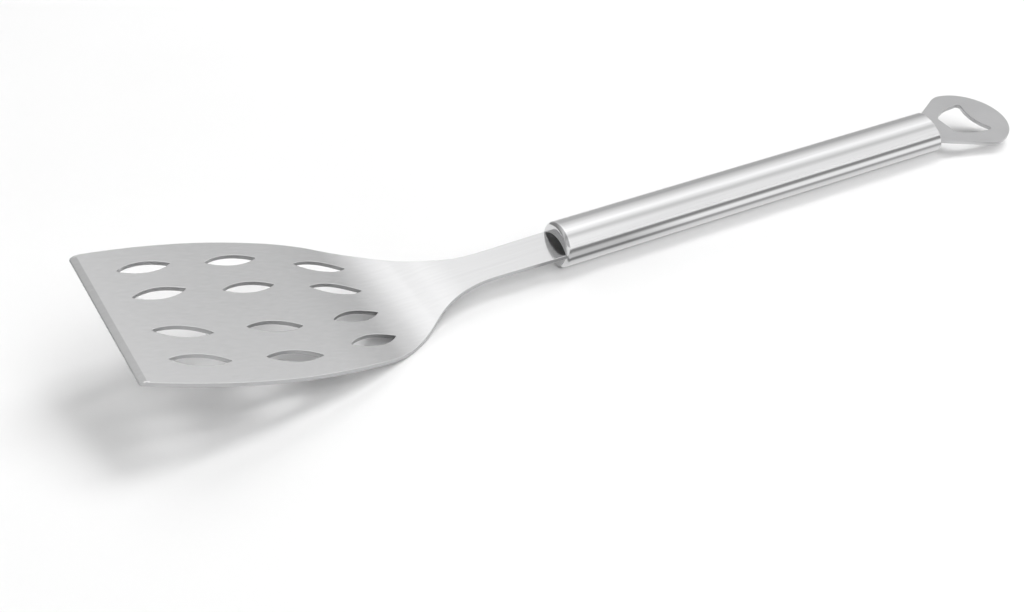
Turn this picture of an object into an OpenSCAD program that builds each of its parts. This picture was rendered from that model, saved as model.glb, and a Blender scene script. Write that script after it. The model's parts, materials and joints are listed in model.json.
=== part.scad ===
// Slotted grill spatula: a stamped blade whose shank runs into a tubular handle,
// and a hanging loop with an opener hole at the handle's end.
//
// Tool frame: +X from the blade's front edge to the loop, Y across, Z up, with the handle's axis on X.
// Every node is drawn in the tool frame and then laid down as it rests on a table: on the handle
// and on the near edge of the heel, leaning about the handle's axis.

/* [Blade] */
// Thickness of the stamped sheet
sheet_t = 1.8; // [1.2:0.1:2.2]
// Length of the front edge
front_w = 72.4; // [64:0.2:80]
// Angle of the blade above the handle's line
blade_tilt = 16; // [12:0.5:20]
// Length of the flat part of the blade behind the front edge
blade_flat = 78.5; // [70:0.5:90]
// Radius of the slight crown behind the flat part
crown_r = 300; // [200:10:400]
// Angle that the crown turns down by
crown_turn = 4.3; // [2:0.1:6]
// Radius of the bend at the heel
heel_r = 55; // [40:1:80]
// Angle at which the neck rises from the heel to the shank
neck_rise = 7.2; // [4:0.1:10]
// Width of the ground bevel along the front edge
bevel_w = 2.7; // [1.5:0.1:4]
// Thickness left at the front edge
bevel_lip = 0.5; // [0.3:0.1:1]

/* [Slots] */
// Length of a slot from point to point
slot_len = 22; // [16:0.5:24]
// Width of a slot at its middle
slot_w = 6.6; // [5:0.1:8]

/* [Shank and handle] */
// Distance from the front edge to the handle's mouth
mouth_x = 190; // [185:0.5:210]
// Length of the shank inside the handle
tang_len = 80; // [40:5:120]
// Outside diameter of the handle tube
tube_d = 20; // [20:0.5:24]
// Wall of the handle tube
tube_wall = 1; // [0.8:0.1:1]
// Length of the handle tube along its axis
tube_len = 216; // [180:1:240]
// Angle that the tube's far end is cut back at, towards its top
end_slant = 24; // [0:1:30]
// Radius of the tube's rolled-in shoulder at the mouth
mouth_r = 2; // [1.2:0.1:3]
// Height of the lens-shaped mouth that the shank goes through
mouth_h = 8.6; // [6:0.1:12]

/* [Hanging loop] */
// Thickness of the loop's plate
loop_t = 2; // [1.5:0.1:2.5]
// Length of the plate's tang inside the handle
loop_tang = 26; // [15:1:40]
// Width of the plate's tang
loop_tang_w = 13; // [10:0.5:14]
// How far the plate lies below the handle's axis
loop_drop = 0.5; // [0:0.1:1.5]

/* [Hidden] */

$fn = 96;
arc_step = 1.5;        // degrees of turn between two points of a computed arc
slack = 0.05;          // gap between a tang and the bore it slides into
tube_r = tube_d / 2;
bore_r = tube_r - tube_wall;
tube_end_x = mouth_x + tube_len;

// A path is a start point, a heading and a list of stretches. A stretch is [length, 0] when it is
// straight, or [radius, turn] when it is an arc; a positive turn is to the left.
function stretch_end(p, h, s) =
    s[1] == 0
        ? p + s[0] * [cos(h), sin(h)]
        : p + sign(s[1]) * s[0] * [sin(h + s[1]) - sin(h), cos(h) - cos(h + s[1])];
function stretch_part(s, f) = s[1] == 0 ? [f * s[0], 0] : [s[0], f * s[1]];
function stretch_steps(s) = s[1] == 0 ? 1 : ceil(abs(s[1]) / arc_step);
// Points of a path as [x, y, heading].
function path(p, h, list, i = 0) =
    i == len(list)
        ? [[p[0], p[1], h]]
        : let (s = list[i], n = stretch_steps(s), e = stretch_end(p, h, s))
          concat(
              [for (k = [0 : n - 1])
                  let (q = k == 0 ? p : stretch_end(p, h, stretch_part(s, k / n)))
                  [q[0], q[1], h + s[1] * k / n]],
              path(e, h + s[1], list, i + 1)
          );
function xy(points) = [for (q = points) [q[0], q[1]]];
function mirrored(points) = [for (i = [len(points) - 1 : -1 : 0]) [points[i][0], -points[i][1]]];
function last(list) = list[len(list) - 1];
function backwards(list) = [for (i = [len(list) - 1 : -1 : 0]) list[i]];
// The stretch that turns a path by the given angle and ends it on the axis.
function closing(q, turn) = [abs(q[1] / (cos(q[2]) - cos(q[2] + turn))), turn];
function closed_path(p, h, list, turn) = path(p, h, concat(list, [closing(last(path(p, h, list)), turn)]));

// Side view of the sheet's middle surface, from the front edge to the end of the flat neck.
profile_bends = [
    [blade_flat, 0],
    [crown_r, -crown_turn],
    [heel_r, blade_tilt + crown_turn + neck_rise],
    [5.2, 0],
    [110, -neck_rise],
];
profile_drop = last(path([0, 0], -blade_tilt, profile_bends))[1];
front_z = -profile_drop;
profile = concat(
    path([0, front_z], -blade_tilt, profile_bends),
    [[mouth_x + tang_len, 0, 0]]
);

// The sheet's upper and lower faces in side view.
function face(side) =
    [for (q = profile) [q[0] - side * sheet_t / 2 * sin(q[2]), q[1] + side * sheet_t / 2 * cos(q[2]), q[2]]];
sheet_upper = face(1);
sheet_lower = face(-1);

// Plan view of one side, from the front corner to the handle's mouth: a wide bow, rounded shoulders
// and a waist that runs into the shank.
side_heading = 13;
shoulder_heading = -38;
shank_taper = 1;
side_bows = [
    [230, -11.5],
    [174, -15],
    [70, shoulder_heading - side_heading + 26.5],
    [8, 0],
    [52.6, shank_taper - shoulder_heading],
];
side_path = path([0, front_w / 2], side_heading, side_bows);
waist = last(side_path);
shank_half = min(
    waist[1] + (mouth_x - waist[0]) * tan(shank_taper),
    sqrt(pow(bore_r - slack, 2) - pow(sheet_t / 2, 2))
);
plan_side = concat(xy(side_path), [[mouth_x, shank_half], [mouth_x + tang_len, shank_half]]);

// Slots: three columns across, each with an outer and an inner slot on both sides.
// [distance from the front edge, angle to the axis, outer offset, inner offset]
slot_columns = [
    [25.2, 9.8, 27.6, 11.4],
    [60.9, 4.8, 29.8, 12.2],
    [97.1, -9.4, 24.0, 8.9],
];
slot_r = (pow(slot_len, 2) + pow(slot_w, 2)) / (4 * slot_w);

// Hanging loop: a plate that flares from the handle and ends in a round bow, with an opener hole.
loop_root = 8.6;
loop_edge = closed_path([0, loop_root], 28, [[25, 0], [11, -36]], -82);
opener_edge = closed_path([12.8, 0], 90, [[5.0, 0], [1.8, -50], [21.5, -36], [5.0, 0], [1.6, -120]], 26);
loop_root_half = min(loop_root, sqrt(pow(bore_r - slack, 2) - pow(loop_t / 2 + loop_drop, 2)));
overall_x = tube_end_x + last(loop_edge)[0];

cap_t = 2;             // thickness of the disc that closes the handle's end
cap_inset = 0.6;       // how far the disc sits inside the handle's end
notch = 0.2;           // depth of the notches in the tube's wall that the loop's plate flares into
// Where the loop's plate widens: its underside meets the slanted disc there.
shoulder_x = (loop_drop + loop_t / 2) * tan(end_slant) - cap_inset / cos(end_slant);

// Rest on a table. The sheet's lower edge beside the heel meets the table at the smallest lean of all
// its stations; the box of the laid tool is then centred on the origin.
function edge_y(x) = lookup(x, plan_side);
function upper_z(x) = lookup(x, xy(sheet_upper));
function lower_z(x) = lookup(x, xy(sheet_lower));
function lean_of(w, z) = atan2(z, w) + asin(tube_r / norm([w, z]));
stations = [sheet_t : 0.25 : waist[0]];
lean = min([for (x = stations) lean_of(edge_y(x), lower_z(x))]);
far_y = max([for (x = stations) edge_y(x) * cos(lean) - lower_z(x) * sin(lean)]);
near_y = min([for (x = stations) -edge_y(x) * cos(lean) - upper_z(x) * sin(lean)]);

module laid() {
    translate([-overall_x / 2, -(far_y + near_y) / 2, tube_r])
        rotate([lean, 0, 0])
            children();
}

// The slanted end of the handle: X is square to the cut, and 0 lies on it.
module at_end() {
    translate([tube_end_x, 0, 0]) rotate([0, -end_slant, 0]) children();
}

// Extrudes a side view drawn in X and Z across the whole width.
module across(width) {
    rotate([90, 0, 0]) linear_extrude(height = width, center = true) children();
}

// Turns a revolved shape from the Z axis onto the X axis.
module along_handle(x) {
    translate([x, 0, 0]) rotate([0, 90, 0]) children();
}

// The sheet's thickness in side view, with the ground bevel at the front edge.
module sheet_side() {
    along = [cos(blade_tilt), -sin(blade_tilt)];
    upward = [sin(blade_tilt), cos(blade_tilt)];
    upper = xy(sheet_upper);
    lower = xy(sheet_lower);
    lip = lower[0] + bevel_lip * upward;
    bevel_top = upper[0] + bevel_w * along;
    polygon(concat(
        [lip, bevel_top],
        [for (i = [1 : len(upper) - 1]) upper[i]],
        [for (i = [len(lower) - 1 : -1 : 0]) lower[i]]
    ));
}

module slot() {
    reach = slot_r - slot_w / 2;
    linear_extrude(height = 20, center = true)
        intersection() {
            translate([0, reach]) circle(r = slot_r);
            translate([0, -reach]) circle(r = slot_r);
        }
}

module slots() {
    translate([0, 0, front_z]) rotate([0, blade_tilt, 0])
        for (c = slot_columns, side = [1, -1], offset = [c[2], c[3]])
            translate([c[0], side * offset, 0]) rotate([0, 0, side * c[1]]) slot();
}

module blade() {
    color("gainsboro") laid() difference() {
        intersection() {
            across(2 * front_w) sheet_side();
            linear_extrude(height = 4 * front_z, center = true)
                polygon(concat(plan_side, mirrored(plan_side)));
        }
        slots();
    }
}

// A lens between two arcs, lying across the handle and drawn along it.
module lens(length, height, depth) {
    arc_r = (pow(length, 2) + pow(height, 2)) / (4 * height);
    reach = arc_r - height / 2;
    intersection() {
        translate([-reach, 0, 0]) cylinder(r = arc_r, h = depth);
        translate([reach, 0, 0]) cylinder(r = arc_r, h = depth);
    }
}

// The tube's front end is rolled in to a wall, which leaves a lens-shaped mouth around the shank.
module handle_tube() {
    inner_r = mouth_r - tube_wall;
    longest = tube_len + tube_r;
    color("silver") laid() difference() {
        along_handle(mouth_x) difference() {
            rotate_extrude()
                polygon(concat(
                    [[bore_r, longest]],
                    backwards(xy(path([bore_r - inner_r, tube_wall], 0, [[inner_r, 90]]))),
                    [[0, tube_wall], [0, 0]],
                    xy(path([tube_r - mouth_r, 0], 0, [[mouth_r, 90]])),
                    [[tube_r, longest]]
                ));
            translate([0, 0, -tube_wall]) lens(2 * bore_r, mouth_h, 3 * tube_wall);
            cube([sheet_t + 2 * slack, 2 * (shank_half + slack), 4 * mouth_r], center = true);
        }
        at_end() translate([0, -tube_d, -2 * tube_d]) cube([2 * tube_d, 2 * tube_d, 4 * tube_d]);
        translate([tube_end_x, 0, -loop_drop])
            cube([2 * cap_t, 2 * (bore_r + notch), loop_t + 2 * slack], center = true);
    }
}

module end_cap() {
    color("silver") laid() difference() {
        intersection() {
            along_handle(tube_end_x - tube_r) cylinder(r = bore_r, h = tube_d);
            at_end() translate([-cap_inset - cap_t, -tube_r, -tube_d]) cube([cap_t, tube_d, 2 * tube_d]);
        }
        translate([tube_end_x, 0, -loop_drop])
            cube([4 * cap_t, loop_tang_w + 2 * slack, loop_t + 2 * slack], center = true);
    }
}

module hanging_loop() {
    tang_side = [[-loop_tang, loop_tang_w / 2], [shoulder_x, loop_tang_w / 2], [shoulder_x, loop_root_half]];
    side = concat(tang_side, [for (i = [1 : len(loop_edge) - 2]) [loop_edge[i][0], loop_edge[i][1]]]);
    tip = [last(loop_edge)[0], 0];
    hole = [for (i = [1 : len(opener_edge) - 2]) [opener_edge[i][0], opener_edge[i][1]]];
    hole_tip = [last(opener_edge)[0], 0];
    color("darkgray") laid() translate([tube_end_x, 0, -loop_drop - loop_t / 2])
        linear_extrude(height = loop_t)
            difference() {
                polygon(concat(side, [tip], mirrored(side)));
                polygon(concat(hole, [hole_tip], mirrored(hole)));
            }
}

// Two beads under the shank, behind the mouth, that join its edges to the tube.
module tang_welds() {
    bead_w = 1.9;
    bead_h = 1.5;
    bead_len = 14;
    bead_gap = 1;
    color("dimgray") laid() intersection() {
        along_handle(mouth_x + mouth_r + bead_gap) cylinder(r = bore_r, h = bead_len);
        for (side = [1, -1])
            translate([mouth_x, side * bore_r, -sheet_t / 2]) rotate([0, 90, 0])
                intersection() {
                    scale([bead_h / bead_w, 1, 1]) cylinder(r = bead_w, h = 2 * bead_len);
                    translate([0, -2 * bead_w, 0]) cube([4 * bead_w, 4 * bead_w, 2 * bead_len]);
                }
    }
}

// One bead under the loop's plate, in the corner between the plate and the end cap.
module loop_weld() {
    bead_r = 1.4;
    bead_len = 12;
    color("dimgray") laid() intersection() {
        translate([tube_end_x, 0, -loop_drop - loop_t / 2]) intersection() {
            translate([shoulder_x, 0, 0]) rotate([90, 0, 0]) cylinder(r = bead_r, h = bead_len, center = true);
            translate([-bead_r, -bead_len, -2 * bead_r]) cube([4 * bead_r, 2 * bead_len, 2 * bead_r]);
        }
        at_end() translate([-cap_inset, -bead_len, -tube_r]) cube([4 * bead_r, 2 * bead_len, tube_d]);
    }
}

blade();
handle_tube();
end_cap();
hanging_loop();
tang_welds();
loop_weld();
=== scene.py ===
import json
import math

import bpy
import numpy as np
from mathutils import Matrix, Vector
from mathutils.geometry import delaunay_2d_cdt


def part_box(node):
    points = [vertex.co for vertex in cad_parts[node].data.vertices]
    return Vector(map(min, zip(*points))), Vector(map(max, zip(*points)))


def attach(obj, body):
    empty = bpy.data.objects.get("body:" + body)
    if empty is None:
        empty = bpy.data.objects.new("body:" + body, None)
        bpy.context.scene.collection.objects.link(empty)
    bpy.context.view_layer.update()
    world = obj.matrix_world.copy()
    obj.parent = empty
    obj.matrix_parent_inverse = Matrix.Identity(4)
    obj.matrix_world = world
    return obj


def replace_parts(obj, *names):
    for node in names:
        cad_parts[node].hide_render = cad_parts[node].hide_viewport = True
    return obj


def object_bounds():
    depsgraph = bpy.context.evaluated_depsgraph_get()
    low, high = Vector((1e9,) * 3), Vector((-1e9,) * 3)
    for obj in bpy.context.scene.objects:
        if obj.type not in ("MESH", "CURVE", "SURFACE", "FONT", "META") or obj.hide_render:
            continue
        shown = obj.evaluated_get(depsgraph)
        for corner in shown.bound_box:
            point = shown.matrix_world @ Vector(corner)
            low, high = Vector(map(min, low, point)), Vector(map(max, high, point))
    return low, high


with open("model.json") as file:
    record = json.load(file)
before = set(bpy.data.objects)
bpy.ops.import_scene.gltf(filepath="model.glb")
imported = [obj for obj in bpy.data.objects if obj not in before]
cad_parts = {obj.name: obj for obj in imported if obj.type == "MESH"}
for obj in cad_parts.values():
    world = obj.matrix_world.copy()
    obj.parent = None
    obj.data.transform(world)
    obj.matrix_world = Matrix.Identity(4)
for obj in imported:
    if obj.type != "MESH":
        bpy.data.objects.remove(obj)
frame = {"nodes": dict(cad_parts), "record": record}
cad_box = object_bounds()

# Grill spatula: a stamped, slotted blade, a polished tube handle and a matt hanging loop.
# Every piece is drawn in the tool frame, in millimetres: +X from the blade's front edge to the loop,
# Y across, Z up, with the handle's axis on X. LAY takes it to the row frame, in metres.

MM = 0.001

# Sheet: side view of its middle surface. A stretch is (length, 0) or (radius, turn in degrees).
SHEET_T = 1.8
BLADE_TILT = 16
SHEET_BENDS = [(78.5, 0), (300, -4.3), (55, 27.5), (5.2, 0), (110, -7.2)]
BEVEL_W = 2.7
BEVEL_LIP = 0.5
TANG_LEN = 80

# Sheet: plan view of one side, from the middle of the front edge to the handle.
FRONT_W = 72.4
CORNER_R = 1.2
SIDE_HEADING = 13
SIDE_BOWS = [(230, -11.5), (174, -15), (70, -24.5), (8, 0), (52.6, 39)]
SHANK_HALF = 8.86

# Slots: (distance from the front edge, angle to the axis, outer offset, inner offset).
SLOT_COLUMNS = [(25.2, 9.8, 27.6, 11.4), (60.9, 4.8, 29.8, 12.2), (97.1, -9.4, 24.0, 8.9)]
SLOT_LEN = 22
SLOT_W = 6.6
SLOT_TIP_R = 0.4

# Handle tube.
TUBE_WALL = 1.0
MOUTH_R = 2.0
MOUTH_H = 8.6
MOUTH_RIM_R = 0.3
SLACK = 0.05
END_SLANT = 24
END_RIM_R = 0.42
COLUMNS = 192
WALL_ROWS = 16
BARREL_ROWS = 28

# Hanging loop.
LOOP_T = 2.0
LOOP_DROP = 0.5
LOOP_TANG = 26
LOOP_TANG_W = 13
LOOP_ROOT = 8.6
LOOP_EDGE = [(25, 0), (11, -36)]
LOOP_HEADING = 28
LOOP_BOW_TURN = -82
OPENER_START = 12.8
OPENER_EDGE = [(5.0, 0), (1.8, -50), (21.5, -36), (5.0, 0), (1.6, -120)]
OPENER_BOW_TURN = 26

# Every softened edge turns a right angle in these steps.
RIM_TURNS = [0, 22.5, 45, 67.5, 90]

# The handle's place and the tool's lean come from the frame.
tube_lo, tube_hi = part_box("handle_tube")
TUBE_R = (tube_hi.z - tube_lo.z) / 2 / MM
BORE_R = TUBE_R - TUBE_WALL
TUBE_LEN = (tube_hi.x - tube_lo.x) / MM - TUBE_R * math.tan(math.radians(END_SLANT))
MOUTH_X = (tube_lo.x - cad_box[0].x) / MM
TUBE_END_X = MOUTH_X + TUBE_LEN
AXIS_Y = (tube_lo.y + tube_hi.y) / 2
hole_axis = frame["record"]["mounts"][0]["axis"]
LEAN = math.asin(-hole_axis[1])
LAY = (
    Matrix.Translation((cad_box[0].x, AXIS_Y, (tube_lo.z + tube_hi.z) / 2))
    @ Matrix.Rotation(LEAN, 4, "X")
    @ Matrix.Scale(MM, 4)
)


# Paths -------------------------------------------------------------------------------------------

def cosd(angle):
    return math.cos(math.radians(angle))


def sind(angle):
    return math.sin(math.radians(angle))


def stretch_length(stretch):
    size, turn = stretch
    return size * math.radians(abs(turn)) if turn else size


def stretch_end(point, stretch, part=1.0):
    """The point (x, y, heading) after that part of a straight or round stretch."""
    x, y, h = point
    size, turn = stretch
    if not turn:
        return x + part * size * cosd(h), y + part * size * sind(h), h
    r = math.copysign(size, turn)
    end = h + part * turn
    return x + r * (sind(end) - sind(h)), y + r * (cosd(h) - cosd(end)), end


def path(point, stretches, step):
    """Points (x, y, heading) along the stretches, at most step apart and 6 degrees of turn apart."""
    points = [point]
    for stretch in stretches:
        count = max(1, math.ceil(stretch_length(stretch) / step), math.ceil(abs(stretch[1]) / 6))
        points += [stretch_end(point, stretch, (k + 1) / count) for k in range(count)]
        point = points[-1]
    return points


def point_at(point, stretches, s):
    """The point (x, y, heading) at length s along the stretches, and straight on beyond them."""
    for stretch in stretches:
        length = stretch_length(stretch)
        if s <= length:
            return stretch_end(point, stretch, s / length)
        s -= length
        point = stretch_end(point, stretch)
    return stretch_end(point, (s, 0))


def closing(point, turn):
    """The round stretch of that turn that ends on the axis."""
    return abs(point[1] / (cosd(point[2]) - cosd(point[2] + turn))), turn


def spread(start, end, step):
    """Points (x, y) on a straight line, without its end."""
    count = max(1, math.ceil(math.dist(start, end) / step))
    return [tuple(a + (b - a) * k / count for a, b in zip(start, end)) for k in range(count)]


def both_sides(half):
    """A closed loop from one half that starts and ends on the axis."""
    return half + [(x, -y) for x, y in reversed(half[1:-1])]


# Plates ------------------------------------------------------------------------------------------

# Smallest gaps between the grid's points and a rim or a crease line, in steps of the grid.
GRID_GAP = 0.45
CREASE_GAP = 0.3
# Longer than the tool, in millimetres.
FAR = 1e3


def turned_left(loop):
    """Twice the loop's area, positive when it is counter-clockwise."""
    return sum(a[0] * b[1] - b[0] * a[1] for a, b in zip(loop, loop[1:] + loop[:1]))


def material_normals(loop):
    """Mitred normals on the left of each point, so that an offset keeps its distance."""
    p = np.array(loop)
    edge = np.roll(p, -1, axis=0) - p
    left = np.stack([-edge[:, 1], edge[:, 0]], 1) / np.linalg.norm(edge, axis=1)[:, None]
    both = left + np.roll(left, 1, axis=0)
    return both / (1 + (left * np.roll(left, 1, axis=0)).sum(1))[:, None]


def inside(points, loop):
    """Which of the points lie inside the loop."""
    result = np.zeros(len(points), bool)
    x, y = points[:, 0], points[:, 1]
    for (xa, ya), (xb, yb) in zip(loop, np.roll(loop, -1, axis=0)):
        if ya != yb:
            result ^= ((ya > y) != (yb > y)) & (x < (xb - xa) * (y - ya) / (yb - ya) + xa)
    return result


def within(points, loops):
    """Which of the points lie inside the first loop and outside the others."""
    result = inside(points, loops[0])
    for loop in loops[1:]:
        result &= ~inside(points, loop)
    return result


class Build:
    """Vertices, faces and corner normals of one mesh."""

    def __init__(self):
        self.points, self.faces, self.normals = [], [], []
        self.marks = {"cut_edge": [], "bore": []}

    def add(self, points, cut_edge=0.0, bore=0.0):
        first = len(self.points)
        self.points += [Vector(p) for p in points]
        self.marks["cut_edge"] += [cut_edge] * len(points)
        self.marks["bore"] += [bore] * len(points)
        return list(range(first, len(self.points)))

    def face(self, corners, normals):
        self.faces.append(corners)
        self.normals += normals

    def strip(self, row_a, normals_a, row_b, normals_b):
        """Quads between two closed rows."""
        for i in range(len(row_a)):
            j = (i + 1) % len(row_a)
            self.face(
                [row_a[i], row_a[j], row_b[j], row_b[i]],
                [normals_a[i], normals_a[j], normals_b[j], normals_b[i]],
            )

    def piece(self, name, material):
        mesh = bpy.data.meshes.new(name)
        mesh.from_pydata([LAY @ p for p in self.points], [], self.faces)
        for mark, values in self.marks.items():
            mesh.attributes.new(mark, "FLOAT", "POINT").data.foreach_set("value", values)
        mesh.polygons.foreach_set("use_smooth", [True] * len(self.faces))
        turn = LAY.to_3x3()
        mesh.normals_split_custom_set([(turn @ Vector(n)).normalized() for n in self.normals])
        mesh.materials.append(material)
        obj = bpy.data.objects.new(name, mesh)
        bpy.context.scene.collection.objects.link(obj)
        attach(obj, "root")
        return obj


def staggered_grid(rim, loops, step):
    """Points in staggered rows between the loops, with a gap to the rim's points."""
    lo, hi = rim.min(0), rim.max(0)
    xs = np.arange(lo[0] + step / 2, hi[0], step)
    ys = np.arange(lo[1] + step / 2, hi[1], step)
    points = np.array([(x + (k % 2 - 0.5) * step / 2, y) for k, y in enumerate(ys) for x in xs])
    points = points[within(points, loops)]
    gaps = np.array([np.abs(rim - p).max(1).min() for p in points])
    return points[gaps > step * GRID_GAP]


def fill(loops, step, crease_ends):
    """Flat points between the loops, the triangles that join them, and the triangles' centres. A crease
    line runs between two points of the first loop, if they are given."""
    flat = np.concatenate(loops)
    links, start = [], 0
    for loop in loops:
        links += [(start + i, start + (i + 1) % len(loop)) for i in range(len(loop))]
        start += len(loop)
    inner = staggered_grid(flat, loops, step)
    if crease_ends:
        a, b = crease_ends
        inner = inner[np.abs(inner[:, 0] - flat[a, 0]) > step * CREASE_GAP]
        line = np.array(spread(flat[a], flat[b], step)[1:])
        chain = [a] + [len(flat) + k for k in range(len(line))] + [b]
        links += list(zip(chain, chain[1:]))
        flat = np.concatenate([flat, line])
    flat = np.concatenate([flat, inner])
    points, _, triangles, *_ = delaunay_2d_cdt([Vector(p) for p in flat], links, [], 0, 1e-6)
    if len(points) != len(flat):
        raise ValueError("the plate's outline crosses itself")
    centres = np.array([[sum(points[i][k] for i in t) / 3 for k in (0, 1)] for t in triangles])
    solid = within(centres, loops)
    return flat, [t for t, keep in zip(triangles, solid) if keep], centres[solid]


def plate(build, loops, sheet, edge_r, band_w, step, crease=None):
    """A plate with softened edges. The first loop is its outline and the others are holes, all in the
    sheet's own flat coordinates. sheet(s, w, side, s_of_face) gives a point of the upper (side 1) or
    lower (side -1) face, its normal, and the sheet's tangent there."""
    loops = [loop if (turned_left(loop) > 0) == (k == 0) else loop[::-1] for k, loop in enumerate(loops)]
    normals = [material_normals(loop) for loop in loops]
    band = [np.array(loop) + n * (edge_r + band_w) for loop, n in zip(loops, normals)]
    crease_ends = None if crease is None else snap_to(band[0], crease)
    flat, triangles, centres = fill(band, step, crease_ends)

    rows = {}
    for side in (1, -1):
        rows[side] = build.add([sheet(s, w, side, s)[0] for s, w in flat])
        for triangle, centre in zip(triangles, centres):
            corners = triangle if side == 1 else triangle[::-1]
            build.face([rows[side][i] for i in corners],
                       [sheet(*flat[i], side, centre[0])[1] for i in corners])

    first = 0
    for loop, normal, edge_band in zip(loops, normals, band):
        rings = []
        for side in (1, -1):
            turns = RIM_TURNS[::side]
            edge = [edge_ring(build, loop, normal, sheet, edge_r, side, turn) for turn in turns]
            face = (rows[side][first:first + len(loop)], [sheet(s, w, side, s)[1] for s, w in edge_band])
            rings += [face] + edge if side == 1 else edge + [face]
        for (row_a, normals_a), (row_b, normals_b) in zip(rings, rings[1:]):
            build.strip(row_b, normals_b, row_a, normals_a)
        first += len(loop)


def edge_ring(build, loop, normal, sheet, edge_r, side, angle):
    """One row of a softened edge: angle 0 lies on the face and 90 on the plate's side."""
    points, normals = [], []
    for (s, w), (ns, nw) in zip(loop, normal):
        inset = edge_r * (1 - sind(angle))
        point, up, along = sheet(s + ns * inset, w + nw * inset, side, s)
        out = -(along * ns + Vector((0, 1, 0)) * nw).normalized()
        points.append(point - up * edge_r * (1 - cosd(angle)))
        normals.append(up * cosd(angle) + out * sind(angle))
    return build.add(points, cut_edge=sind(angle)), normals


def snap_to(loop, crease):
    """Moves the loop's nearest point on each side onto the crease line, and returns the two points."""
    ends = []
    for side in (-1, 1):
        away = np.abs(loop[:, 0] - crease) + FAR * (loop[:, 1] * side < 0)
        ends.append(int(away.argmin()))
        loop[ends[-1], 0] = crease
    return ends


# Blade -------------------------------------------------------------------------------------------

FRONT = (0, -point_at((0, 0, -BLADE_TILT), SHEET_BENDS, FAR)[1], -BLADE_TILT)
BEVEL_ANGLE = math.degrees(math.atan2(SHEET_T - BEVEL_LIP, BEVEL_W))
# The length along the sheet and the half width, each to be looked up by X.
sheet_s = np.arange(0, MOUTH_X + TANG_LEN + 20, 0.5)
sheet_x = [point_at(FRONT, SHEET_BENDS, s)[0] for s in sheet_s]
side_x, side_y, _ = zip(*path((0, FRONT_W / 2, SIDE_HEADING), SIDE_BOWS, 1.0), (MOUTH_X, SHANK_HALF, 0))


def blade_sheet(s, w, side, s_of_face):
    """A point of the stamped sheet, with the ground bevel along its front edge. The sheet is cut out
    straight down in the tool frame, so both faces follow the plan at their own X."""
    x, z, h = point_at(FRONT, SHEET_BENDS, s)
    up = Vector((-sind(h), 0, cosd(h)))
    along = Vector((cosd(h), 0, sind(h)))
    height = side * SHEET_T / 2
    normal = up * side
    if side == 1 and s < BEVEL_W:
        height -= (BEVEL_W - s) * math.tan(math.radians(BEVEL_ANGLE))
    if side == 1 and s_of_face < BEVEL_W:
        normal = up * cosd(BEVEL_ANGLE) - along * sind(BEVEL_ANGLE)
    point = Vector((x, w, z)) + up * height
    point.y *= np.interp(point.x, side_x, side_y) / np.interp(x, side_x, side_y)
    return point, normal, along


def blade_outline():
    trim = SHEET_T / 2 * sind(BLADE_TILT)
    cut = CORNER_R * math.tan(math.radians((90 - SIDE_HEADING) / 2))
    bow_r, bow_turn = SIDE_BOWS[0]
    skipped = math.degrees((cut + trim) / bow_r)
    front = FRONT_W / 2 + trim * math.tan(math.radians(SIDE_HEADING)) - cut
    stretches = [(front, 0), (CORNER_R, SIDE_HEADING - skipped - 90), (bow_r, bow_turn + skipped)]
    half = [(x, y) for x, y, _ in path((trim, 0, 90), stretches + SIDE_BOWS[1:], 1.2)]
    tang_end = MOUTH_X + TANG_LEN
    corners = [half[-1], (MOUTH_X, SHANK_HALF), (tang_end, SHANK_HALF), (tang_end, 0)]
    for a, b in zip(corners, corners[1:]):
        half += spread(a, b, 2.5)[1 if a == half[-1] else 0:]
    half.append(corners[-1])
    return both_sides([(float(np.interp(x, sheet_x, sheet_s)), y) for x, y in half])


def slot_outline(distance, angle, offset):
    """A lens between two arcs, with small round tips."""
    a, b = SLOT_LEN / 2 - SLOT_TIP_R, SLOT_W / 2 - SLOT_TIP_R
    turn = math.degrees(4 * math.atan2(b, a))
    arc_r = a / sind(turn / 2) + SLOT_TIP_R
    stretches = [(arc_r, turn), (SLOT_TIP_R, 180 - turn)] * 2
    points = path((0, 0, -turn / 2), stretches, 0.9)[:-1]
    middle = np.mean([(x, y) for x, y, _ in points], axis=0)
    c, s = cosd(angle), sind(angle)
    return [(distance + c * (x - middle[0]) - s * (y - middle[1]),
             offset + s * (x - middle[0]) + c * (y - middle[1])) for x, y, _ in points]


def blade(material):
    loops = [blade_outline()]
    for distance, angle, outer, inner in SLOT_COLUMNS:
        for side in (1, -1):
            loops += [slot_outline(distance, side * angle, side * offset) for offset in (outer, inner)]
    build = Build()
    plate(build, loops, blade_sheet, edge_r=0.2, band_w=0.7, step=2.0, crease=BEVEL_W)
    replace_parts(build.piece("stamped_blade", material), "blade")


# Hanging loop ------------------------------------------------------------------------------------

def loop_sheet(s, w, side, _):
    """A point of the flat plate, which has no bevel."""
    height = side * LOOP_T / 2 - LOOP_DROP
    return Vector((TUBE_END_X + s, w, height)), Vector((0, 0, side)), Vector((1, 0, 0))


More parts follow.
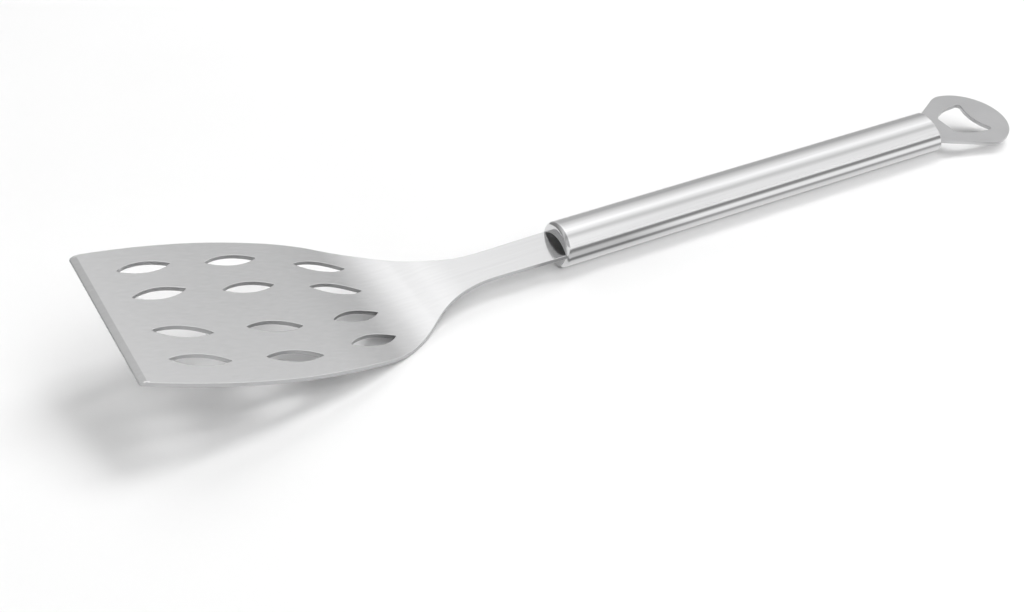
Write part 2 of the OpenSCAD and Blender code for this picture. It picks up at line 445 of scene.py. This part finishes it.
def hanging_loop(material):
    start = (0, LOOP_ROOT, LOOP_HEADING)
    edge = LOOP_EDGE + [closing(path(start, LOOP_EDGE, 50)[-1], LOOP_BOW_TURN)]
    tang = [(-LOOP_TANG, 0), (-LOOP_TANG, LOOP_TANG_W / 2), (0, LOOP_TANG_W / 2)]
    outline = []
    for a, b in zip(tang, tang[1:] + [start[:2]]):
        outline += spread(a, b, 1.5)
    outline += [(x, y) for x, y, _ in path(start, edge, 1.0)]
    outline[-1] = (outline[-1][0], 0.0)

    start = (OPENER_START, 0, 90)
    edge = OPENER_EDGE + [closing(path(start, OPENER_EDGE, 50)[-1], OPENER_BOW_TURN)]
    opener = [(x, y) for x, y, _ in path(start, edge, 1.0)]
    opener[-1] = (opener[-1][0], 0.0)
    build = Build()
    loops = [both_sides(outline), both_sides(opener)]
    plate(build, loops, loop_sheet, edge_r=0.35, band_w=0.6, step=1.6)
    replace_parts(build.piece("loop_plate", material), "hanging_loop")


# Handle tube -------------------------------------------------------------------------------------

def mouth_edge(angle):
    """Radius of the mouth's edge: a lens, and the slot that the shank fills."""
    arc_r = ((2 * BORE_R) ** 2 + MOUTH_H ** 2) / (4 * MOUTH_H)
    reach = arc_r - MOUTH_H / 2
    lens = math.sqrt(arc_r ** 2 - (reach * cosd(angle)) ** 2) - reach * abs(sind(angle))
    slot_y, slot_z = SHANK_HALF + SLACK, SHEET_T / 2 + SLACK
    slot = min(slot_y / max(abs(cosd(angle)), 1e-6), slot_z / max(abs(sind(angle)), 1e-6))
    return max(lens, slot)


def wall_point(a, depth):
    """A point (radius, x) of the rolled-in front wall and its normal, at length a from the axis."""
    flat = TUBE_R - MOUTH_R
    if a <= flat:
        return (a, depth), (0, -1)
    bend = math.degrees((a - flat) / MOUTH_R)
    r = MOUTH_R - depth
    return (flat + r * sind(bend), MOUTH_R - r * cosd(bend)), (sind(bend), -cosd(bend))


def rim_points(edge, depth, side):
    """The round between the front wall's face at that depth and the mouth's edge."""
    points = []
    for turn in RIM_TURNS:
        (r, x), (nr, nx) = wall_point(edge + MOUTH_RIM_R * (1 - sind(turn)), depth)
        drop = MOUTH_RIM_R * (1 - cosd(turn)) * side
        normal = (side * nr * cosd(turn) + nx * sind(turn), side * nx * cosd(turn) - nr * sind(turn))
        points.append(((r - nr * drop, x - nx * drop), normal))
    return points


def tube_column(angle):
    """The tube's wall at one angle, round from the mouth's edge and back, as ((radius, x), normal)."""
    flat = TUBE_R - MOUTH_R
    end = flat + MOUTH_R * math.pi / 2
    edge = mouth_edge(angle)
    if edge > flat:
        edge = flat + MOUTH_R * math.asin((edge - flat) / MOUTH_R)
    start = edge + MOUTH_RIM_R
    wall = [start + (end - start) * (1 - cosd(90 * k / WALL_ROWS)) for k in range(1, WALL_ROWS + 1)]
    barrel = np.linspace(MOUTH_R + 1, TUBE_LEN - END_RIM_R - 1, BARREL_ROWS)

    column = rim_points(edge, 0, 1)[::-1]
    column += [wall_point(a, 0) for a in wall]
    column += [((TUBE_R, x), (1, 0)) for x in barrel]
    for centre, first in ((TUBE_R - END_RIM_R, 0), (BORE_R + END_RIM_R, 90)):
        for turn in RIM_TURNS:
            c, s = cosd(first + turn), sind(first + turn)
            column.append(((centre + END_RIM_R * c, TUBE_LEN - END_RIM_R + END_RIM_R * s), (c, s)))
    column += [((BORE_R, x), (-1, 0)) for x in barrel[::-1]]
    for a in reversed(wall):
        point, (nr, nx) = wall_point(a, TUBE_WALL)
        column.append((point, (-nr, -nx)))
    return column + rim_points(edge, TUBE_WALL, -1)


def handle_tube(material):
    """The tube, with each row sheared back towards its top as the slanted end is neared."""
    build = Build()
    angles = [360 * k / COLUMNS for k in range(COLUMNS)]
    grid = [tube_column(angle) for angle in angles]
    slant = math.tan(math.radians(END_SLANT))
    # The bore starts at the first row that faces the axis.
    bore_row = [normal[0] < -0.9 for _, normal in grid[0]].index(True)
    rows, normals = [], []
    for j in range(len(grid[0])):
        ring, ring_normals = [], []
        for angle, column in zip(angles, grid):
            (r, x), (nr, nx) = column[j]
            y, z = r * cosd(angle), r * sind(angle)
            back = z * slant * max(0, x - MOUTH_R) / (TUBE_LEN - MOUTH_R)
            ring.append((MOUTH_X + x - back, y, z))
            lean = slant * nx * (x > TUBE_LEN / 2)
            ring_normals.append(Vector((nx, nr * cosd(angle), nr * sind(angle) + lean)).normalized())
        rows.append(build.add(ring, bore=float(j >= bore_row)))
        normals.append(ring_normals)
    for j in range(len(rows)):
        after = (j + 1) % len(rows)
        build.strip(rows[j], normals[j], rows[after], normals[after])
    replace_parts(build.piece("tube", material), "handle_tube")


# Materials ---------------------------------------------------------------------------------------

def set_stops(ramp, stops):
    """Grey stops of a colour ramp, as (position, level)."""
    elements = ramp.color_ramp.elements
    elements.remove(elements[1])
    for k, (position, level) in enumerate(stops):
        element = elements[0] if k == 0 else elements.new(position)
        element.position = position
        element.color = (level, level, level, 1)


# Relief, in metres, and its noise: a stretch below 1 draws the grain out along the tool.
GRAIN_STRETCH = (0.02, 1, 1)
BROAD_STRETCH = (0.25, 1, 1)
GRAIN_DEPTH = 0.00003
GRIT_DEPTH = 0.00004
WELD_DEPTH = 0.0001

# Cut edges and the inside of the tube: their greys, and what they add to or take from the roughness. The
# inside's pale non-metal grey is painted light that lifts the shade in the bore.
CUT_GREY = (0.5, 0.5, 0.505)
CUT_DULL = 0.25
BORE_PAINTED_LIGHT_GREY = (0.85, 0.85, 0.85)
BORE_DULL = 0.4
EDGE_SMOOTH = 0.12


class Nodes:
    """A material's node tree, with short calls to add and link nodes."""

    def __init__(self, name):
        self.material = bpy.data.materials.new(name)
        self.material.use_nodes = True
        self.tree = self.material.node_tree
        self.shader = self.tree.nodes["Principled BSDF"]
        self.place = self.tree.nodes.new("ShaderNodeTexCoord").outputs["Object"]

    def add(self, kind, inputs=None, **settings):
        node = self.tree.nodes.new("ShaderNode" + kind)
        for key, value in settings.items():
            setattr(node, key, value)
        for key, value in (inputs or {}).items():
            if isinstance(value, bpy.types.NodeSocket):
                self.tree.links.new(value, node.inputs[key])
            else:
                node.inputs[key].default_value = value
        return node

    def noise(self, scale, detail=3.0, stretch=(1, 1, 1), roughness=0.5):
        place = self.add("Mapping", {"Vector": self.place, "Scale": stretch}).outputs["Vector"]
        inputs = {"Vector": place, "Scale": scale, "Detail": detail, "Roughness": roughness}
        return self.add("TexNoise", inputs).outputs["Fac"]

    def mark(self, name):
        """A mark that the mesh keeps at its points, between 0 and 1."""
        return self.add("Attribute", attribute_name=name).outputs["Fac"]

    def ranged(self, value, low, high, from_low=0.3, from_high=0.7):
        """The value stretched to run from low to high, and held there beyond its own range."""
        inputs = {"Value": value, "From Min": from_low, "From Max": from_high, "To Min": low, "To Max": high}
        return self.add("MapRange", inputs).outputs["Result"]

    def math(self, a, b, operation="ADD"):
        return self.add("Math", {0: a, 1: b}, operation=operation).outputs["Value"]

    def blend(self, factor, a, b):
        """A mix of two colours, each an (r, g, b) or a socket."""
        node = self.add("Mix", data_type="RGBA")
        sockets = {socket.name: socket for socket in node.inputs if socket.type == "RGBA"}
        for name, value in (("A", a), ("B", b)):
            if isinstance(value, bpy.types.NodeSocket):
                self.tree.links.new(value, sockets[name])
            else:
                sockets[name].default_value = (*value, 1)
        self.tree.links.new(factor, node.inputs["Factor"])
        return next(socket for socket in node.outputs if socket.type == "RGBA")

    def emit(self, color):
        """Makes the surface glow in that colour, in place of its shader."""
        emission = self.add("Emission", {"Color": color}).outputs["Emission"]
        self.tree.links.new(emission, self.tree.nodes["Material Output"].inputs["Surface"])
        return self.material

    def finish(self, color, roughness, height, strength, distance, metallic=0.0):
        """Links the surface's colour, roughness and relief. Metallic is a number or a socket."""
        bump = self.add("Bump", {"Height": height, "Strength": strength, "Distance": distance})
        self.tree.links.new(color, self.shader.inputs["Base Color"])
        self.tree.links.new(roughness, self.shader.inputs["Roughness"])
        self.tree.links.new(bump.outputs["Normal"], self.shader.inputs["Normal"])
        if isinstance(metallic, bpy.types.NodeSocket):
            self.tree.links.new(metallic, self.shader.inputs["Metallic"])
        else:
            self.shader.inputs["Metallic"].default_value = metallic
        return self.material


def brushed_steel(name, dark, light, roughness, grain, bore=False):
    """Steel brushed along the tool, with duller cut edges. The inside of a tube is duller too, and isn't a
    mirror; its pale non-metal grey is painted light that lifts the shade in the bore."""
    n = Nodes(name)
    fine = n.noise(grain, 4, GRAIN_STRETCH, 0.6)
    broad = n.noise(18, 2, BROAD_STRETCH)
    cut = n.mark("cut_edge")
    face = n.blend(n.math(n.ranged(fine, 0, 0.6), n.ranged(broad, 0, 0.4)), dark, light)
    color = n.blend(cut, face, CUT_GREY)
    dull = n.math(cut, CUT_DULL, "MULTIPLY")
    metallic = 1.0
    if bore:
        inner = n.mark("bore")
        # Painted light: the bore turns a pale non-metal grey, so that its shade looks lifted.
        color = n.blend(inner, color, BORE_PAINTED_LIGHT_GREY)
        dull = n.math(dull, n.math(inner, BORE_DULL, "MULTIPLY"))
        metallic = n.ranged(inner, 1, 0, 0, 1)
    rough = n.math(n.ranged(fine, roughness * 0.85, roughness * 1.15), dull)
    return n.finish(color, rough, fine, 0.12, GRAIN_DEPTH, metallic)


def blasted_steel(name, dark, light, roughness):
    """Steel with an even, bead-blasted matt skin, a little smoother along its edges."""
    n = Nodes(name)
    grit = n.noise(2600, 2)
    cloud = n.noise(60, 3)
    color = n.blend(n.ranged(cloud, 0.2, 0.8), dark, light)
    worn = n.math(n.mark("cut_edge"), EDGE_SMOOTH, "MULTIPLY")
    rough = n.math(n.ranged(grit, roughness - 0.04, roughness + 0.04), worn, "SUBTRACT")
    return n.finish(color, rough, grit, 0.25, GRIT_DEPTH, 1.0)


def welded_steel(name):
    """Uneven, darker steel of a weld bead."""
    n = Nodes(name)
    cloud = n.noise(900, 3)
    color = n.blend(n.ranged(cloud, 0, 1), (0.33, 0.32, 0.31), (0.55, 0.55, 0.55))
    return n.finish(color, n.ranged(cloud, 0.35, 0.55), cloud, 0.3, WELD_DEPTH, 1.0)


def paint(node, material):
    """Gives a CAD node a better material."""
    obj = frame["nodes"][node]
    for slot in obj.material_slots:
        slot.material = material


# Stage -------------------------------------------------------------------------------------------

FLOOR_SIZE = 8
BACKDROP_R = 2.4

# Light tent: brightness at each angle around the handle, from the far side's horizon (0) over the top to
# the near side's horizon (180), and at each reach along it, from -1 (blade) to 1 (loop).
TENT_PEAK = 1.6
TENT_PANELS = [(0, 0.6), (30, 0.56), (41, 0.62), (48, 0.74), (62, 0.93), (76, 1.15),
               (98, 1.48), (112, 1.2), (126, 0.85), (133, 0.87), (147, 1.16), (180, 1.18)]
TENT_ENDS = [(-1, 0.5), (-0.1, 0.5), (0.14, 0.95), (0.25, 1.2), (0.4, 1.12), (0.55, 0.93), (1, 0.9)]

# Soft lamps: (name, azimuth, elevation, (width, height) in metres, power in watts).
SOFTBOXES = [
    ("front", 0, 38, (2.6, 2.2), 62),
    ("right", 110, 57, (2.2, 2.2), 102),
    ("front_right", 42, 56, (2.2, 2.2), 50),
    ("back", 182, 38, (2.8, 2.0), 52),
    ("left", -65, 13, (2.0, 1.0), 36),
]
SOFTBOX_DISTANCE = 4
SOFTBOX_TARGET = Vector((0, 0, 0.03))

# Glowing card on the floor beside the handle, which paints light and dark stripes into the tube's
# reflection: its glow at each distance (mm) from the handle's axis, near the mouth and towards the loop.
# Both lists start and end at the card's edges. Between the two X of
# CARD_CHANGE, in metres, the first list turns into the second.
CARD_AT_MOUTH = [(70, 0.95), (58, 0.62), (48, 0.34), (34, 0.24), (28, 0.36), (21, 0.72),
                 (15, 0.7), (13, 0.25), (11, 0.25), (9, 0.8), (3, 0.84)]
CARD_AT_LOOP = [(70, 0.95), (58, 0.62), (48, 0.36), (34, 0.27), (28, 0.42), (21, 1.15),
                (15, 1.1), (13, 0.45), (11, 0.45), (9, 0.85), (3, 0.84)]
CARD_FAR, CARD_NEAR = CARD_AT_MOUTH[0][0], CARD_AT_MOUTH[-1][0]
CARD_CHANGE = (0.0, 0.035)
CARD_PAST_MOUTH = 0.01
CARD_PAST_END = 0.05
CARD_Z = 0.0001

CAMERA_PLACE = (-0.3221, -0.44624, 0.26449)
CAMERA_AZIMUTH = -30.211
CAMERA_ELEVATION = 27.883
CAMERA_ROLL = -2.669
CAMERA_LENS = 49.64
CAMERA_SENSOR = 36
CAMERA_SHIFT = (0.0025, -0.0006)


def towards(azimuth, elevation):
    """The direction from the object to a lamp or camera; azimuth 0 is the near side."""
    return Vector((sind(azimuth) * cosd(elevation), -cosd(azimuth) * cosd(elevation), sind(elevation)))


def floor():
    """A pale, faintly uneven floor."""
    bpy.ops.mesh.primitive_plane_add(size=FLOOR_SIZE, location=(0, 0, 0))
    obj = bpy.context.object
    obj.name = "floor"
    n = Nodes("pale_floor")
    cloud = n.noise(3, 2)
    color = n.blend(n.ranged(cloud, 0, 1), (0.86, 0.86, 0.86), (0.88, 0.88, 0.88))
    obj.data.materials.append(n.finish(color, n.ranged(cloud, 0.5, 0.55), cloud, 0.01, 0.0001))


def backdrop():
    """A pale dome behind the floor, which only the camera sees."""
    bpy.ops.mesh.primitive_uv_sphere_add(segments=64, ring_count=32, radius=BACKDROP_R, location=(0, 0, 0))
    obj = bpy.context.object
    obj.name = "backdrop"
    n = Nodes("backdrop_paper")
    color = n.blend(n.ranged(n.noise(1, 2), 0, 1), (0.97, 0.97, 0.97), (1, 1, 1))
    obj.data.materials.append(n.emit(color))
    obj.visible_glossy = obj.visible_diffuse = obj.visible_shadow = obj.visible_transmission = False


def softbox(name, azimuth, elevation, size, power):
    """A soft rectangular light that faces the target, hidden from the camera and from reflections."""
    light = bpy.data.lights.new(name, "AREA")
    light.shape = "RECTANGLE"
    light.size, light.size_y = size
    light.energy = power
    obj = bpy.data.objects.new(name, light)
    back = towards(azimuth, elevation)
    obj.location = SOFTBOX_TARGET + back * SOFTBOX_DISTANCE
    obj.rotation_euler = back.to_track_quat("Z", "Y").to_euler()
    obj.visible_camera = obj.visible_glossy = False
    bpy.context.scene.collection.objects.link(obj)


def tent():
    """A light tent for the reflections. The floor's diffuse light doesn't see it. Both ramps hold their
    brightness as a part of the peak."""
    world = bpy.data.worlds.new("tent")
    world.use_nodes = True
    tree = world.node_tree
    background = tree.nodes["Background"]
    place = tree.nodes.new("ShaderNodeTexCoord")
    split = tree.nodes.new("ShaderNodeSeparateXYZ")
    tree.links.new(place.outputs["Generated"], split.inputs["Vector"])

    around = tree.nodes.new("ShaderNodeMath")
    around.operation = "ARCTAN2"
    tree.links.new(split.outputs["Z"], around.inputs[0])
    tree.links.new(split.outputs["Y"], around.inputs[1])
    half_turn = tree.nodes.new("ShaderNodeMath")
    half_turn.operation = "DIVIDE"
    half_turn.inputs[1].default_value = math.pi
    tree.links.new(around.outputs["Value"], half_turn.inputs[0])
    panels = tree.nodes.new("ShaderNodeValToRGB")
    set_stops(panels, [(angle / 180, level / TENT_PEAK) for angle, level in TENT_PANELS])
    tree.links.new(half_turn.outputs["Value"], panels.inputs["Fac"])
    tree.links.new(panels.outputs["Color"], background.inputs["Color"])

    along = tree.nodes.new("ShaderNodeMapRange")
    along.inputs["From Min"].default_value = -1
    tree.links.new(split.outputs["X"], along.inputs["Value"])
    ends = tree.nodes.new("ShaderNodeValToRGB")
    set_stops(ends, [((1 + reach) / 2, level / TENT_PEAK) for reach, level in TENT_ENDS])
    tree.links.new(along.outputs["Result"], ends.inputs["Fac"])
    peak = tree.nodes.new("ShaderNodeMath")
    peak.operation = "MULTIPLY"
    peak.inputs[1].default_value = TENT_PEAK * TENT_PEAK
    tree.links.new(ends.outputs["Color"], peak.inputs[0])
    tree.links.new(peak.outputs["Value"], background.inputs["Strength"])

    bpy.context.scene.world = world
    world.cycles_visibility.diffuse = False


def glowing_reflection_stripes():
    """Glowing light and dark stripes along the card, a painted reflection for the tube, which change from
    the mouth to the loop's end.
    """
    n = Nodes("glowing_reflection_stripes")
    place = n.add("SeparateXYZ", {"Vector": n.place})
    across = n.ranged(place.outputs["Y"], 0, 1, AXIS_Y - CARD_FAR * MM, AXIS_Y - CARD_NEAR * MM)
    along = n.ranged(place.outputs["X"], 0, 1, *CARD_CHANGE)
    colors = []
    for stripes in (CARD_AT_MOUTH, CARD_AT_LOOP):
        ramp = n.add("ValToRGB", {"Fac": across})
        set_stops(ramp, [((CARD_FAR - d) / (CARD_FAR - CARD_NEAR), level) for d, level in stripes])
        colors.append(ramp.outputs["Color"])
    return n.emit(n.blend(along, *colors))


def floor_card():
    """A glowing striped card on the floor along the handle's near side, which only polished metal sees: a
    painted reflection of light and shade in the tube.
    """
    x0, x1 = tube_lo.x - CARD_PAST_MOUTH, tube_hi.x + CARD_PAST_END
    y0, y1 = AXIS_Y - CARD_FAR * MM, AXIS_Y - CARD_NEAR * MM
    corners = [(x0, y0, CARD_Z), (x1, y0, CARD_Z), (x1, y1, CARD_Z), (x0, y1, CARD_Z)]
    mesh = bpy.data.meshes.new("floor_card")
    mesh.from_pydata(corners, [], [(0, 1, 2, 3)])
    mesh.materials.append(glowing_reflection_stripes())
    obj = bpy.data.objects.new("floor_card", mesh)
    obj.visible_camera = obj.visible_diffuse = obj.visible_shadow = obj.visible_transmission = False
    bpy.context.scene.collection.objects.link(obj)


def studio():
    """The light tent, the soft lamps and the glowing striped card that paints the tube's reflections."""
    tent()
    for lamp in SOFTBOXES:
        softbox(*lamp)
    floor_card()
    bpy.context.scene.view_settings.view_transform = "Standard"


def camera():
    data = bpy.data.cameras.new("camera")
    data.sensor_width = CAMERA_SENSOR
    data.lens = CAMERA_LENS
    data.shift_x, data.shift_y = CAMERA_SHIFT
    obj = bpy.data.objects.new("camera", data)
    back = towards(CAMERA_AZIMUTH, CAMERA_ELEVATION)
    right = Vector((cosd(CAMERA_AZIMUTH), sind(CAMERA_AZIMUTH), 0))
    up = back.cross(right)
    c, s = cosd(CAMERA_ROLL), sind(CAMERA_ROLL)
    right, up = right * c + up * s, up * c - right * s
    turn = Matrix((right, up, back)).transposed().to_4x4()
    obj.matrix_world = Matrix.Translation(CAMERA_PLACE) @ turn
    bpy.context.scene.collection.objects.link(obj)
    bpy.context.scene.camera = obj


camera()
studio()
floor()
backdrop()

blade_material = brushed_steel("blade_steel", (0.8, 0.8, 0.805), (0.86, 0.86, 0.865), 0.15, 900)
tube_material = brushed_steel("tube_steel", (0.68, 0.68, 0.685), (0.74, 0.74, 0.745), 0.12, 1200, bore=True)
loop_material = blasted_steel("loop_steel", (0.52, 0.52, 0.525), (0.58, 0.58, 0.585), 0.5)
weld_material = welded_steel("weld_steel")

blade(blade_material)
handle_tube(tube_material)
hanging_loop(loop_material)
paint("end_cap", tube_material)
paint("tang_welds", weld_material)
paint("loop_weld", weld_material)
